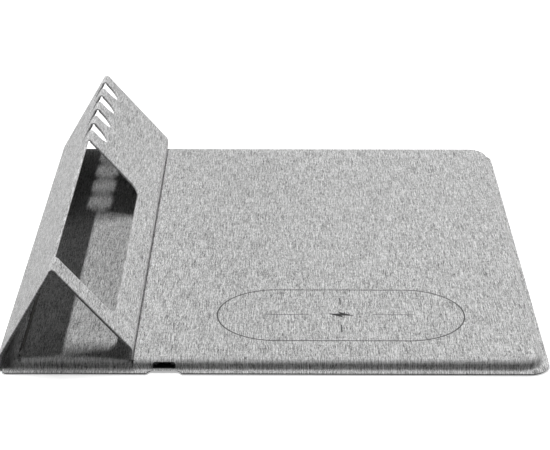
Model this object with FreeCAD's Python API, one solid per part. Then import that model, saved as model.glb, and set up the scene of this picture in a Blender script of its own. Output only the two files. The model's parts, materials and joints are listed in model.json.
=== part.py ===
import FreeCAD, Part
import math
import os
from FreeCAD import Vector

# Fabric-covered desk pad with a wireless charging zone and a fold-up tent stand.
# Millimetres. X to the right, Y to the back, Z up. The origin is on the desk, under the middle.

# ---- overall size ----
PAD_WIDTH = 313.7        # spine's outer face to the right edge of the border
PAD_DEPTH = 350.0        # front to back, over the border
TOP_Z = 7.4              # top face of the fabric
STAND_WIDTH = 76.7       # spine's outer face to the seam between stand and mouse area
LEDGE = 4.0              # how far the border shows beyond the walls
LEFT = -PAD_WIDTH / 2
RIGHT = PAD_WIDTH / 2
SEAM_X = LEFT + STAND_WIDTH
HALF_DEPTH = PAD_DEPTH / 2
HALF_TENT = HALF_DEPTH - LEDGE
FRONT_WALL = -HALF_TENT

# ---- base layers ----
GRIP_THICK = 0.6
BORDER_THICK = 0.7
DECK_Z = GRIP_THICK + BORDER_THICK
COVER_THICK = 0.6
BOARD_TOP = TOP_Z - COVER_THICK
SHEET_CORNER = 12.5
SPINE_CORNER = 2.5       # underside's corners at the spine
MAT_CORNER = 13.0
STAND_CORNER = 8.0
EDGE_ROUND = 3.0         # fabric's bend over the top edge
SEAM_GAP = 0.3
STAND_INSET = 5.5        # spine's outer face to the stand cover's left wall

# ---- laminated sheets of the tent ----
PLY = 0.45               # fabric on each face
CORE = 0.9               # stiff board between the fabrics
SHEET = CORE + 2 * PLY
CREASE_GAP = 0.3         # air between two boards at a crease when they lie in one plane
EDGE_TURN = 0.5          # boards stop this far short of a free edge, where the fabrics are sealed together
FLAP_ANGLE = 59.6        # left side of the tent, above the desk
PANEL_ANGLE = 48.9       # right side of the tent
TAB_LEAN = 8.0           # foot leans back under the panel
FLAP_LENGTH = 61.8
PANEL_LENGTH = 60.7
TAB_LENGTH = 3.3
FOLD_RADIUS = 1.6        # crease radius at the spine, to the middle of the sheet
RIDGE_RADIUS = 1.4
TAB_RADIUS = 6.0

# ---- window and pen slots, along the panel from the ridge ----
WINDOW_REACH = 46.5
WINDOW_FRONT = FRONT_WALL + 17.7
WINDOW_DEPTH = 190.8
WINDOW_CORNER = 7.0
SLOT_COUNT = 4
SLOT_WIDTH = 14.1
SLOT_PITCH = 28.8
SLOT_REACH = 12.8
SLOT_NOSE = 9.9          # length of the slot's elliptical end
LAST_SLOT = HALF_TENT - 22.0

# ---- charging zone ----
CHARGE = Vector(SEAM_X + 119.4, -HALF_DEPTH + 63.7, 0)
ZONE_LENGTH = 147.7
ZONE_WIDTH = 70.2
PRINT_LINE = 0.85
PRINT_HIGH = 0.06
TICK_NEAR = 14.0         # short ticks in front of and behind the bolt
TICK_FAR = 23.5
TICK_LINE = 0.8
DASH_NEAR = 19.0         # long thin dashes left and right of it
DASH_FAR = 44.0
DASH_LINE = 0.5
BOLT_HALF = (Vector(-7.8, 1.4, 0), Vector(-0.3, 1.1, 0), Vector(-1.6, 4.0, 0))   # other half: its mirror
COIL_INNER = 11.0
COIL_PITCH = 1.2
COIL_TURNS = 9
COIL_WIRE = 1.0
LEAD_RADIUS = 0.35
LEAD_SPACING = 0.45
LEAD_CLEAR = 0.3         # leads over the coil's turns
LEAD_PAD = 2.0           # leads' end, from the control board's edge
FERRITE = 50.0
FERRITE_THICK = 1.0
FERRITE_CORNER = 3.0
COIL_CLEAR = 0.05        # coil over the ferrite
BEAD_RADIUS = 2.0

# ---- charging module ----
TRAY_LEFT = CHARGE.x - 51.0
TRAY_LENGTH = 80.0
TRAY_WIDTH = 60.0
TRAY_WALL = 1.2
TRAY_FLOOR = 0.7
TRAY_BASE = DECK_Z + 0.1
LID_THICK = 0.8
LID_CLEAR = 0.1          # lid under the fabric
FIT = 0.3
CONTROL_LENGTH = 18.0
CONTROL_WIDTH = 46.0
CONTROL_GAP = 1.0        # control board to the tray's left wall
CONTROL_STAND = 1.1      # control board over the tray's floor, clear of the cable
PCB_THICK = 1.0
CHIP_LENGTH = 4.0
CHIP_SPACING = 9.5
CHIP_HIGH = 0.8
PASSIVE = (2.0, 1.2, 0.7)
PASSIVE_PITCH = 3.2
PASSIVE_COLUMNS = 5
PASSIVE_ROWS = (-20.4, -17.4, 13.6, 16.6, 19.6)

# ---- port ----
PORT_X = SEAM_X + 17.75
PORT_Z = 3.9
PORT_WIDTH = 13.4
PORT_HIGH = 4.2
PORT_TOP_RADIUS = 1.8
PORT_FOOT_RADIUS = 0.9
BEZEL_GAP = 0.1
BEZEL_FACE = 0.9         # bezel's front face, behind the wall
BEZEL_DEPTH = 4.0        # connector's face, behind the wall
BEZEL_WALL = 0.5
BEZEL_PLATE = 0.8
USB_WIDTH = 8.94
USB_HIGH = 3.26
USB_DEPTH = 7.35
USB_WALL = 0.3
BAY_ROOF = 0.4           # board left over the port's bay
BAY_ROOM = 1.0           # bay round the port's board
NOTCH_INNER = 13.0
NOTCH_OUTER = 21.0

PORT_BOARD_WIDTH = 16.0
PORT_BOARD_DEPTH = 12.0
PORT_BOARD_THICK = 0.8
USB_FACE = FRONT_WALL + BEZEL_DEPTH
PORT_BOARD_BACK = USB_FACE + 1.5 + PORT_BOARD_DEPTH
PORT_BOARD_TOP = PORT_Z - USB_HIGH / 2

# ---- flat power cable, in a channel of the board ----
CABLE_WIDTH = 5.0
CABLE_THICK = 0.7
CABLE_ROOM = 0.5         # channel round the cable
CABLE_Z = PORT_BOARD_TOP
CABLE_TURN = 20.0
CABLE_START_Y = PORT_BOARD_BACK - 3.0
CABLE_RUN_Y = PORT_BOARD_BACK + CABLE_TURN + 6.0
CABLE_END_X = TRAY_LEFT + TRAY_WALL + 6.0

# ---- magnets ----
MAGNET_COUNT = 6
MAGNET_LENGTH = 20.0
MAGNET_PITCH = 60.0
MAGNET_WIDTH = 4.0
MAGNET_THICK = 2.5
MAGNET_FROM_SEAM = 1.5
MAGNET_DEEP = 0.2        # under the board's top face
TAB_MAGNET_WIDTH = 2.4
TAB_MAGNET_FIT = 0.05

os.makedirs("parts", exist_ok=True)


def save(name, shape):
    """Write one node, a single solid or a group of separate solids."""
    clean = shape.removeSplitter()
    clean.exportStep(f"parts/{name}.step")
    box = clean.BoundBox
    lows = (box.XMin, box.YMin, box.ZMin)
    highs = (box.XMax, box.YMax, box.ZMax)
    spans = " ".join(f"{low:8.2f}..{high:7.2f}" for low, high in zip(lows, highs))
    print(f"{name:18s} {len(clean.Solids)} solid {clean.isValid()} {clean.Volume:10.1f} {spans}")


def block(x0, x1, y0, y1, z0, z1):
    return Part.makeBox(x1 - x0, y1 - y0, z1 - z0, Vector(x0, y0, z0))


def row(shapes):
    return Part.makeCompound(list(shapes))


def rounded_prism(x0, x1, y0, y1, z0, z1, left_radius, right_radius):
    """Flat slab whose four upright corners are rounded, left pair and right pair apart."""
    slab = block(x0, x1, y0, y1, z0, z1)
    for radius, side in ((left_radius, x0), (right_radius, x1)):
        if radius > 0:
            corners = [e for e in slab.Edges if upright(e) and abs(e.Vertexes[0].X - side) < 0.01]
            slab = slab.makeFillet(radius, corners)
    return slab


def upright(edge):
    ends = [v.Point for v in edge.Vertexes]
    return len(ends) == 2 and abs(ends[0].x - ends[1].x) < 1e-6 and abs(ends[0].y - ends[1].y) < 1e-6


def stadium_wire(length, width, centre):
    """Outline with two straight sides along X and two half-round ends."""
    half = (length - width) / 2
    radius = width / 2
    a = centre + Vector(-half, -radius, 0)
    b = centre + Vector(half, -radius, 0)
    c = centre + Vector(half, radius, 0)
    d = centre + Vector(-half, radius, 0)
    right = Part.Arc(b, centre + Vector(half + radius, 0, 0), c).toShape()
    left = Part.Arc(d, centre + Vector(-half - radius, 0, 0), a).toShape()
    return Part.Wire([Part.makeLine(a, b), right, Part.makeLine(c, d), left])


def stadium_prism(length, width, depth, centre):
    """The same outline stood on edge: long way along X, short way along Z, pushed back along Y."""
    flat = Part.Face(stadium_wire(length, width, Vector(0, 0, 0)))
    flat.rotate(Vector(0, 0, 0), Vector(1, 0, 0), 90)
    flat.translate(centre)
    return flat.extrude(Vector(0, depth, 0))


def port_prism(inset, y0, y1):
    """Outline of the port's opening, set in all round and pushed along Y: rounder above than below."""
    half = PORT_WIDTH / 2 - inset
    low = PORT_Z - PORT_HIGH / 2 + inset
    high = PORT_Z + PORT_HIGH / 2 - inset
    slab = block(PORT_X - half, PORT_X + half, y0, y1, low, high)
    for z, radius in ((high, PORT_TOP_RADIUS), (low, PORT_FOOT_RADIUS)):
        corners = [e for e in slab.Edges if runs_back(e) and abs(e.Vertexes[0].Z - z) < 0.01]
        slab = slab.makeFillet(radius - inset, corners)
    return slab


def runs_back(edge):
    ends = [v.Point for v in edge.Vertexes]
    return len(ends) == 2 and abs(ends[0].x - ends[1].x) < 1e-6 and abs(ends[0].z - ends[1].z) < 1e-6


def polygon_prism(points, height):
    wire = Part.makePolygon(points + points[:1])
    return Part.Face(wire).extrude(Vector(0, 0, height))


def base_shell(x0, x1, left_radius, right_radius):
    """Fabric cap: a top and walls one fabric thick, bent softly over the top edge, open below."""
    outer = rounded_prism(x0, x1, -HALF_TENT, HALF_TENT, DECK_Z, TOP_Z, left_radius, right_radius)
    rim = [e for e in outer.Edges if all(abs(v.Z - TOP_Z) < 0.01 for v in e.Vertexes)]
    flat_side = x0 if left_radius == 0 else x1
    rim = [e for e in rim if not all(abs(v.X - flat_side) < 0.01 for v in e.Vertexes)]
    outer = outer.makeFillet(EDGE_ROUND, rim)
    return outer.cut(base_core(x0, x1, left_radius, right_radius))


def base_core(x0, x1, left_radius, right_radius):
    """Board under a fabric cap: the cap's outline, set in all round by the fabric."""
    low = x0 + COVER_THICK
    high = x1 - COVER_THICK
    left = max(left_radius - COVER_THICK, 0)
    right = max(right_radius - COVER_THICK, 0)
    edge = HALF_TENT - COVER_THICK
    core = rounded_prism(low, high, -edge, edge, DECK_Z, BOARD_TOP, left, right)
    rim = [e for e in core.Edges if all(abs(v.Z - BOARD_TOP) < 0.01 for v in e.Vertexes)]
    flat_side = low if left_radius == 0 else high
    rim = [e for e in rim if not all(abs(v.X - flat_side) < 0.01 for v in e.Vertexes)]
    return core.makeFillet(EDGE_ROUND - COVER_THICK, rim)


# ---- tent frames: each sheet has a pivot, and lies at its crease radius outside that pivot ----

def along(angle):
    return Vector(math.cos(math.radians(angle)), 0, math.sin(math.radians(angle)))


def outward(angle):
    return along(angle + 90)


SPINE_DIR = 90.0
FLAP_DIR = FLAP_ANGLE
PANEL_DIR = -PANEL_ANGLE
TAB_DIR = -90.0 - TAB_LEAN
BASE_PIVOT = Vector(LEFT + SHEET / 2 + FOLD_RADIUS, 0, SHEET / 2 + FOLD_RADIUS)
SPINE_PIVOT = Vector(BASE_PIVOT.x, 0, TOP_Z)
SPINE_LENGTH = SPINE_PIVOT.z - BASE_PIVOT.z
RIDGE_PIVOT = (SPINE_PIVOT + outward(FLAP_DIR) * (FOLD_RADIUS - RIDGE_RADIUS)
               + along(FLAP_DIR) * FLAP_LENGTH)
TAB_PIVOT = (RIDGE_PIVOT + outward(PANEL_DIR) * (RIDGE_RADIUS - TAB_RADIUS)
             + along(PANEL_DIR) * PANEL_LENGTH)


def set_up(shape, pivot, direction):
    """Turn a sheet drawn flat (X along it, Z outward) to its place in the tent."""
    placed = shape.copy()
    placed.rotate(Vector(0, 0, 0), Vector(0, 1, 0), -direction)
    placed.translate(pivot)
    return placed


def layers(radius):
    """Heights of the three plies over the pivot: board, outer fabric and lining."""
    low = radius - SHEET / 2
    return {
        "lining": (low, low + PLY),
        "board": (low + PLY, low + PLY + CORE),
        "cover": (low + PLY + CORE, low + SHEET),
    }


def slot_centres():
    return [LAST_SLOT - SLOT_PITCH * i for i in range(SLOT_COUNT)]


def slot_cutter(edge_x, reach_sign, z0, z1, grow):
    """Straight-sided slot with a half-elliptical nose, from a sheet's edge inwards."""
    half = SLOT_WIDTH / 2 + grow
    straight = SLOT_REACH - SLOT_NOSE
    cutters = []
    for y in slot_centres():
        nose = Part.Ellipse(Vector(0, 0, 0), SLOT_NOSE + grow, half).toShape()
        nose = Part.Face(Part.Wire([nose])).extrude(Vector(0, 0, z1 - z0))
        nose.translate(Vector(edge_x + reach_sign * straight, y, z0))
        ends = sorted((edge_x - reach_sign, edge_x + reach_sign * straight))
        cutters.append(nose.fuse(block(ends[0], ends[1], y - half, y + half, z0, z1)))
    return cutters


def window_cutter(z0, z1, grow):
    reach = WINDOW_REACH + grow
    slab = block(-1, reach, WINDOW_FRONT - grow, WINDOW_FRONT + WINDOW_DEPTH + grow, z0, z1)
    corners = [e for e in slab.Edges if upright(e) and abs(e.Vertexes[0].X - reach) < 0.01]
    return slab.makeFillet(WINDOW_CORNER + grow, corners)


def ply(length, z0, z1, inset):
    return block(CREASE_GAP, length, -HALF_TENT + inset, HALF_TENT - inset, z0, z1)


def fold_band(pivot, radius, start, end, thick, half_length):
    """Bent fabric of a crease: part of a tube around the pivot, from one angle to another."""
    middle = (start + end) / 2
    outer = radius + SHEET / 2
    inner = outer - thick

    def arc(r):
        points = [pivot + along(a) * r for a in (start, middle, end)]
        return Part.Arc(points[0], points[1], points[2]).toShape()

    spokes = [Part.makeLine(pivot + along(a) * inner, pivot + along(a) * outer) for a in (start, end)]
    wire = Part.Wire(Part.__sortEdges__([arc(outer), spokes[1], arc(inner), spokes[0]]))
    band = Part.Face(wire).extrude(Vector(0, 2 * half_length, 0))
    band.translate(Vector(0, -half_length, 0))
    return band


# ---- base: underside, border, boards and covers ----

def port_notch(z0, z1):
    wall = FRONT_WALL
    edge = -HALF_DEPTH - 1
    spread = (NOTCH_OUTER - NOTCH_INNER) / 2 / LEDGE
    outer = NOTCH_INNER / 2 + spread * (wall - edge)
    points = [
        Vector(PORT_X - NOTCH_INNER / 2, wall, z0),
        Vector(PORT_X + NOTCH_INNER / 2, wall, z0),
        Vector(PORT_X + outer, edge, z0),
        Vector(PORT_X - outer, edge, z0),
    ]
    return polygon_prism(points, z1 - z0)


def make_underside():
    for name, z0, z1 in (("grip_base", 0, GRIP_THICK), ("border_sheet", GRIP_THICK, DECK_Z)):
        sheet = rounded_prism(BASE_PIVOT.x, RIGHT, -HALF_DEPTH, HALF_DEPTH, z0, z1,
                              SPINE_CORNER, SHEET_CORNER)
        save(name, sheet.cut(port_notch(z0 - 1, z1 + 1)))


def tray_pocket():
    return block(TRAY_LEFT, TRAY_LEFT + TRAY_LENGTH, CHARGE.y - TRAY_WIDTH / 2,
                 CHARGE.y + TRAY_WIDTH / 2, 0, TOP_Z + 1)


def cable_solid(width, z0, z1, end_x):
    """Flat cable in plan: straight back from the port, one quarter turn, then straight to the tray."""
    corner = Vector(PORT_X + CABLE_TURN, CABLE_RUN_Y - CABLE_TURN, z0)
    runs = [
        block(PORT_X - width / 2, PORT_X + width / 2, CABLE_START_Y, corner.y, z0, z1),
        block(corner.x, end_x, CABLE_RUN_Y - width / 2, CABLE_RUN_Y + width / 2, z0, z1),
    ]
    profile = Part.Face(Part.makePolygon([
        corner + Vector(-CABLE_TURN - width / 2, 0, 0),
        corner + Vector(-CABLE_TURN + width / 2, 0, 0),
        corner + Vector(-CABLE_TURN + width / 2, 0, z1 - z0),
        corner + Vector(-CABLE_TURN - width / 2, 0, z1 - z0),
        corner + Vector(-CABLE_TURN - width / 2, 0, 0),
    ]))
    bend = profile.revolve(corner, Vector(0, 0, -1), 90)
    return runs[0].fuse([bend, runs[1]])


def make_boards():
    mat_left = SEAM_X + SEAM_GAP / 2
    mat_right = RIGHT - LEDGE
    board = base_core(mat_left, mat_right, 0, MAT_CORNER)
    bay_half = PORT_BOARD_WIDTH / 2 + BAY_ROOM
    port_bay = block(PORT_X - bay_half, PORT_X + bay_half, -HALF_DEPTH, PORT_BOARD_BACK + BAY_ROOM,
                     0, BOARD_TOP - BAY_ROOF)
    channel = cable_solid(CABLE_WIDTH + 2 * CABLE_ROOM, 0, CABLE_Z + CABLE_THICK + CABLE_ROOM,
                          TRAY_LEFT + 1)
    save("mat_board", board.cut([tray_pocket(), port_bay, channel]))

    cover = base_shell(mat_left, mat_right, 0, MAT_CORNER)
    save("mat_cover", cover.cut(port_prism(0, FRONT_WALL - 2, FRONT_WALL + 2)))

    stand_left = LEFT + STAND_INSET
    stand_right = SEAM_X - SEAM_GAP / 2
    stand = base_core(stand_left, stand_right, STAND_CORNER, 0)
    save("stand_board", stand.cut([magnet_block(y, FIT / 2) for y in magnet_places()]))
    save("stand_cover", base_shell(stand_left, stand_right, STAND_CORNER, 0))
    save("base_magnets", row(magnet_block(y, 0) for y in magnet_places()))


def magnet_places():
    first = -MAGNET_PITCH * (MAGNET_COUNT - 1) / 2
    return [first + MAGNET_PITCH * i for i in range(MAGNET_COUNT)]


def magnet_block(y, clearance):
    """Magnet let into the stand's board beside the seam, or with a clearance its pocket, open above."""
    half = MAGNET_LENGTH / 2 + clearance
    right = SEAM_X - MAGNET_FROM_SEAM
    top = BOARD_TOP - MAGNET_DEEP
    return block(right - MAGNET_WIDTH - clearance, right + clearance, y - half, y + half,
                 top - MAGNET_THICK - clearance, TOP_Z if clearance else top)


def make_mark():
    """Printed outline of the charging zone with a bolt symbol and a tick on each of its four sides."""
    centre = Vector(CHARGE.x, CHARGE.y, TOP_Z)
    up = Vector(0, 0, PRINT_HIGH)
    outer = Part.Face(stadium_wire(ZONE_LENGTH, ZONE_WIDTH, centre)).extrude(up)
    inner = Part.Face(stadium_wire(ZONE_LENGTH - 2 * PRINT_LINE, ZONE_WIDTH - 2 * PRINT_LINE, centre))
    bolt = [centre + v for v in BOLT_HALF] + [centre - v for v in BOLT_HALF]
    pieces = [outer.cut(inner.extrude(up)), polygon_prism(bolt, PRINT_HIGH)]
    for side in (-1, 1):
        across = sorted((centre.y + side * TICK_NEAR, centre.y + side * TICK_FAR))
        pieces.append(block(centre.x - TICK_LINE / 2, centre.x + TICK_LINE / 2, across[0], across[1],
                            TOP_Z, TOP_Z + PRINT_HIGH))
        ends = sorted((centre.x + side * DASH_NEAR, centre.x + side * DASH_FAR))
        pieces.append(block(ends[0], ends[1], centre.y - DASH_LINE / 2, centre.y + DASH_LINE / 2,
                            TOP_Z, TOP_Z + PRINT_HIGH))
    save("charging_mark", row(pieces))


# ---- charging module ----

def make_module():
    x0 = TRAY_LEFT + FIT
    x1 = TRAY_LEFT + TRAY_LENGTH - FIT
    y0 = CHARGE.y - TRAY_WIDTH / 2 + FIT
    y1 = CHARGE.y + TRAY_WIDTH / 2 - FIT
    lid_top = BOARD_TOP - LID_CLEAR
    tray_top = lid_top - LID_THICK
    floor = TRAY_BASE + TRAY_FLOOR
    tray = block(x0, x1, y0, y1, TRAY_BASE, tray_top)
    tray = tray.cut(block(x0 + TRAY_WALL, x1 - TRAY_WALL, y0 + TRAY_WALL, y1 - TRAY_WALL, floor, TOP_Z))
    gate_half = CABLE_WIDTH / 2 + CABLE_ROOM
    cable_gate = block(x0 - 1, x0 + TRAY_WALL + 1, CABLE_RUN_Y - gate_half, CABLE_RUN_Y + gate_half,
                       CABLE_Z - FIT, CABLE_Z + CABLE_THICK + CABLE_ROOM)
    save("charging_tray", tray.cut(cable_gate))
    save("tray_lid", block(x0, x1, y0, y1, tray_top, lid_top))

    ferrite_z = floor
    save("ferrite_plate", rounded_prism(CHARGE.x - FERRITE / 2, CHARGE.x + FERRITE / 2,
                                        CHARGE.y - FERRITE / 2, CHARGE.y + FERRITE / 2,
                                        ferrite_z, ferrite_z + FERRITE_THICK,
                                        FERRITE_CORNER, FERRITE_CORNER))
    wire_z = ferrite_z + FERRITE_THICK + COIL_CLEAR + COIL_WIRE / 2
    coil, inner_end, outer_end = spiral(wire_z)
    save("charging_coil", coil)
    bead = Part.makeCylinder(BEAD_RADIUS, COIL_WIRE, Vector(CHARGE.x, CHARGE.y, wire_z - COIL_WIRE / 2))
    save("coil_thermistor", bead)

    board_x0 = x0 + TRAY_WALL + CONTROL_GAP
    board_z = floor + CONTROL_STAND
    top = board_z + PCB_THICK
    board = block(board_x0, board_x0 + CONTROL_LENGTH, CHARGE.y - CONTROL_WIDTH / 2,
                  CHARGE.y + CONTROL_WIDTH / 2, board_z, top)
    save("control_board", board)
    middle = Vector(board_x0 + CONTROL_LENGTH / 2, CHARGE.y, 0)
    save("board_chips", row(
        seated(middle + Vector(0, CHIP_SPACING * i, 0), CHIP_LENGTH, CHIP_LENGTH, top, CHIP_HIGH)
        for i in (-1, 0, 1)
    ))
    first = -PASSIVE_PITCH * (PASSIVE_COLUMNS - 1) / 2
    length, width, high = PASSIVE
    save("board_passives", row(
        seated(middle + Vector(first + PASSIVE_PITCH * i, y, 0), length, width, top, high)
        for i in range(PASSIVE_COLUMNS) for y in PASSIVE_ROWS
    ))
    ends = ((inner_end, -LEAD_SPACING), (outer_end, LEAD_SPACING))
    pad_x = board_x0 + CONTROL_LENGTH - LEAD_PAD
    save("coil_leads", row(lead(end, shift, pad_x, top) for end, shift in ends))


def seated(centre, length, width, z, high):
    """Block on a board's face."""
    return block(centre.x - length / 2, centre.x + length / 2, centre.y - width / 2,
                 centre.y + width / 2, z, z + high)


def spiral(z):
    """Flat coil of round wire: half turns about two centres, each pair one pitch wider."""
    shift = Vector(COIL_PITCH / 4, 0, 0)
    centre = Vector(CHARGE.x, CHARGE.y, z)
    start = centre + Vector(COIL_INNER, 0, 0) - shift
    point = start
    pieces = []
    for half in range(2 * COIL_TURNS):
        axis = centre - shift if half % 2 == 0 else centre + shift
        profile = Part.Wire(Part.makeCircle(COIL_WIRE / 2, point, Vector(0, 1, 0)))
        pieces.append(Part.Face(profile).revolve(axis, Vector(0, 0, 1), 180))
        point = axis - (point - axis)
    return pieces[0].fuse(pieces[1:]), start, point


def lead(start, shift, pad_x, pad_z):
    """Wire from one end of the coil, over its turns, down to a pad on the control board."""
    wire_top = start.z + COIL_WIRE / 2
    run_z = wire_top + LEAD_RADIUS + LEAD_CLEAR
    near = Vector(start.x, start.y + shift, wire_top)
    far = Vector(pad_x, start.y + shift, pad_z)
    rise = Part.makeCylinder(LEAD_RADIUS, run_z - wire_top, near)
    drop = Part.makeCylinder(LEAD_RADIUS, run_z - pad_z, far)
    run = Part.makeCylinder(LEAD_RADIUS, near.x - far.x, Vector(far.x, far.y, run_z), Vector(1, 0, 0))
    knuckles = [Part.makeSphere(LEAD_RADIUS, Vector(v.x, v.y, run_z)) for v in (near, far)]
    return rise.fuse([run, drop] + knuckles)


# ---- port ----

def make_port():
    back = USB_FACE - BEZEL_GAP
    bezel = port_prism(BEZEL_GAP, FRONT_WALL + BEZEL_FACE, back)
    mouth = port_prism(BEZEL_GAP + BEZEL_WALL, FRONT_WALL, back - BEZEL_PLATE)
    throat = stadium_prism(USB_WIDTH - 2 * USB_WALL, USB_HIGH - 2 * USB_WALL, BEZEL_DEPTH + 2,
                           Vector(PORT_X, FRONT_WALL, PORT_Z))
    save("port_bezel", bezel.cut([mouth, throat]))

    seat = Vector(PORT_X, USB_FACE, PORT_Z)
    outer = stadium_prism(USB_WIDTH, USB_HIGH, USB_DEPTH, seat)
    inner = stadium_prism(USB_WIDTH - 2 * USB_WALL, USB_HIGH - 2 * USB_WALL, USB_DEPTH - USB_WALL, seat)
    save("usb_c_shell", outer.cut(inner))
    save("usb_c_tongue", block(PORT_X - 3.3, PORT_X + 3.3, USB_FACE + 0.8,
                               USB_FACE + USB_DEPTH - USB_WALL, PORT_Z - 0.35, PORT_Z + 0.35))
    board = block(PORT_X - PORT_BOARD_WIDTH / 2, PORT_X + PORT_BOARD_WIDTH / 2,
                  PORT_BOARD_BACK - PORT_BOARD_DEPTH, PORT_BOARD_BACK,
                  PORT_BOARD_TOP - PORT_BOARD_THICK, PORT_BOARD_TOP)
    save("port_board", board)
    save("power_cable", cable_solid(CABLE_WIDTH, CABLE_Z, CABLE_Z + CABLE_THICK, CABLE_END_X))


# ---- tent ----

def make_sheet(name, pivot, direction, radius, length, cut_for):
    """Three plies of one side of the tent: fabric, board, lining."""
    for layer, (z0, z1) in layers(radius).items():
        inset = EDGE_TURN if layer == "board" else 0
        flat = ply(length, z0, z1, inset)
        cutters = cut_for(z0 - 1, z1 + 1, inset)
        if cutters:
            flat = flat.cut(cutters)
        if layer == "board" and name == "tab":
            flat = flat.cut([tab_magnet(y, z0, z1, TAB_MAGNET_FIT) for y in magnet_places()])
        save(f"{name}_{layer}", set_up(flat, pivot, direction))


def tab_magnet(y, z0, z1, clearance):
    """Magnet strip as thick as the tab's board, or with a clearance the cut-out for it."""
    half = MAGNET_LENGTH / 2 + clearance
    middle = (CREASE_GAP + TAB_LENGTH) / 2
    reach = TAB_MAGNET_WIDTH / 2 + clearance
    through = 1 if clearance else 0
    return block(middle - reach, middle + reach, y - half, y + half, z0 - through, z1 + through)


def make_tent():
    make_sheet("spine", BASE_PIVOT, SPINE_DIR, FOLD_RADIUS, SPINE_LENGTH, lambda z0, z1, grow: [])
    make_sheet("flap", SPINE_PIVOT, FLAP_DIR, FOLD_RADIUS, FLAP_LENGTH,
               lambda z0, z1, grow: slot_cutter(FLAP_LENGTH, -1, z0, z1, grow))
    make_sheet("panel", RIDGE_PIVOT, PANEL_DIR, RIDGE_RADIUS, PANEL_LENGTH,
               lambda z0, z1, grow: slot_cutter(0, 1, z0, z1, grow) + [window_cutter(z0, z1, grow)])
    make_sheet("tab", TAB_PIVOT, TAB_DIR, TAB_RADIUS, TAB_LENGTH, lambda z0, z1, grow: [])
    z0, z1 = layers(TAB_RADIUS)["board"]
    magnets = row(tab_magnet(y, z0, z1, 0) for y in magnet_places())
    save("tab_magnets", set_up(magnets, TAB_PIVOT, TAB_DIR))

    save("base_fold", fold_band(BASE_PIVOT, FOLD_RADIUS, 180, 270, DECK_Z, HALF_TENT))
    save("spine_fold", fold_band(SPINE_PIVOT, FOLD_RADIUS, FLAP_DIR + 90, 180, PLY * 2, HALF_TENT))
    save("tab_fold", fold_band(TAB_PIVOT, TAB_RADIUS, TAB_DIR + 90, PANEL_DIR + 90, PLY * 2, HALF_TENT))
    ridge = fold_band(RIDGE_PIVOT, RIDGE_RADIUS, PANEL_DIR + 90, FLAP_DIR + 90, PLY * 2, HALF_TENT)
    half = SLOT_WIDTH / 2
    reach = RIDGE_RADIUS + SHEET
    openings = [block(RIDGE_PIVOT.x - reach, RIDGE_PIVOT.x + reach, y - half, y + half,
                      RIDGE_PIVOT.z - reach, RIDGE_PIVOT.z + reach) for y in slot_centres()]
    openings.append(block(RIDGE_PIVOT.x, RIDGE_PIVOT.x + reach, WINDOW_FRONT,
                          WINDOW_FRONT + WINDOW_DEPTH, RIDGE_PIVOT.z - reach, RIDGE_PIVOT.z + reach))
    save("ridge_fold", ridge.cut(openings))


make_underside()
make_boards()
make_mark()
make_module()
make_port()
make_tent()
for label, pivot in (("base", BASE_PIVOT), ("spine", SPINE_PIVOT), ("ridge", RIDGE_PIVOT),
                     ("tab", TAB_PIVOT)):
    print(f"{label} pivot x {pivot.x:.3f} z {pivot.z:.3f}")
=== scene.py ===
import json
import math

import bmesh
import bpy
import numpy as np
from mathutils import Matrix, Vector
from mathutils.geometry import delaunay_2d_cdt

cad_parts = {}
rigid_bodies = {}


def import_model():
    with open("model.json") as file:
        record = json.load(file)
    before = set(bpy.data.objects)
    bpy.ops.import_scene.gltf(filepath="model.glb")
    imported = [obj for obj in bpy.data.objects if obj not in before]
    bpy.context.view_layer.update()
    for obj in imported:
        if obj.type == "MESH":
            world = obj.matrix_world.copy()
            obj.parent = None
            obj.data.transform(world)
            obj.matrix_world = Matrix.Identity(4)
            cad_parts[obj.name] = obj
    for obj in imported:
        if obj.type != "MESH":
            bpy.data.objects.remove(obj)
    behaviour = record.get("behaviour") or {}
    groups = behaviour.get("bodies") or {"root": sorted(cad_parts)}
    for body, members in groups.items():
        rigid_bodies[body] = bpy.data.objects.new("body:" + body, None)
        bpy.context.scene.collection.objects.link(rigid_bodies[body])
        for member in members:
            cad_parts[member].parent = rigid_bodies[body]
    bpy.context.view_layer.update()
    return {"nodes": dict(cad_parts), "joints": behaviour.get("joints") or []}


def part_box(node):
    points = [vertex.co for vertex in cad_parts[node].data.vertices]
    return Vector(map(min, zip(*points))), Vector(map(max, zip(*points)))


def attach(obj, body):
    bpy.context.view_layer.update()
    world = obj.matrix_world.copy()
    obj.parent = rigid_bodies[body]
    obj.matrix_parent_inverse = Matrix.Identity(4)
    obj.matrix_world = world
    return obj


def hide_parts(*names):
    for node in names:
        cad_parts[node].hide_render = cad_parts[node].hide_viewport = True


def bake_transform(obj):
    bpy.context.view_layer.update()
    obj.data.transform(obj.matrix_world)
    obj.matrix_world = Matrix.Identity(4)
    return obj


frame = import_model()

# Fabric-covered desk pad with a charging zone and a fold-up tent stand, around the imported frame.
# Lengths in this script are millimetres until a mesh or a light is made, and MM turns them to metres.
MM = 0.001


def box_mm(node):
    low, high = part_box(node)
    return low / MM, high / MM


# ---- camera ----
CAMERA_PLACE = (0.0058, -1.1001, 0.4835)    # metres
CAMERA_DOWN = 22.929                        # degrees below level
CAMERA_TURN = 0.331                         # degrees to the left of straight back
CAMERA_LENS = 120.57
CAMERA_SENSOR = 36.0
CAMERA_FAR = 50.0


def make_camera():
    data = bpy.data.cameras.new("camera")
    data.sensor_width = CAMERA_SENSOR
    data.lens = CAMERA_LENS
    data.clip_end = CAMERA_FAR
    camera = bpy.data.objects.new("camera", data)
    camera.location = CAMERA_PLACE
    camera.rotation_euler = (math.radians(90 - CAMERA_DOWN), 0, math.radians(CAMERA_TURN))
    bpy.context.scene.collection.objects.link(camera)
    bpy.context.scene.camera = camera


make_camera()

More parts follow.
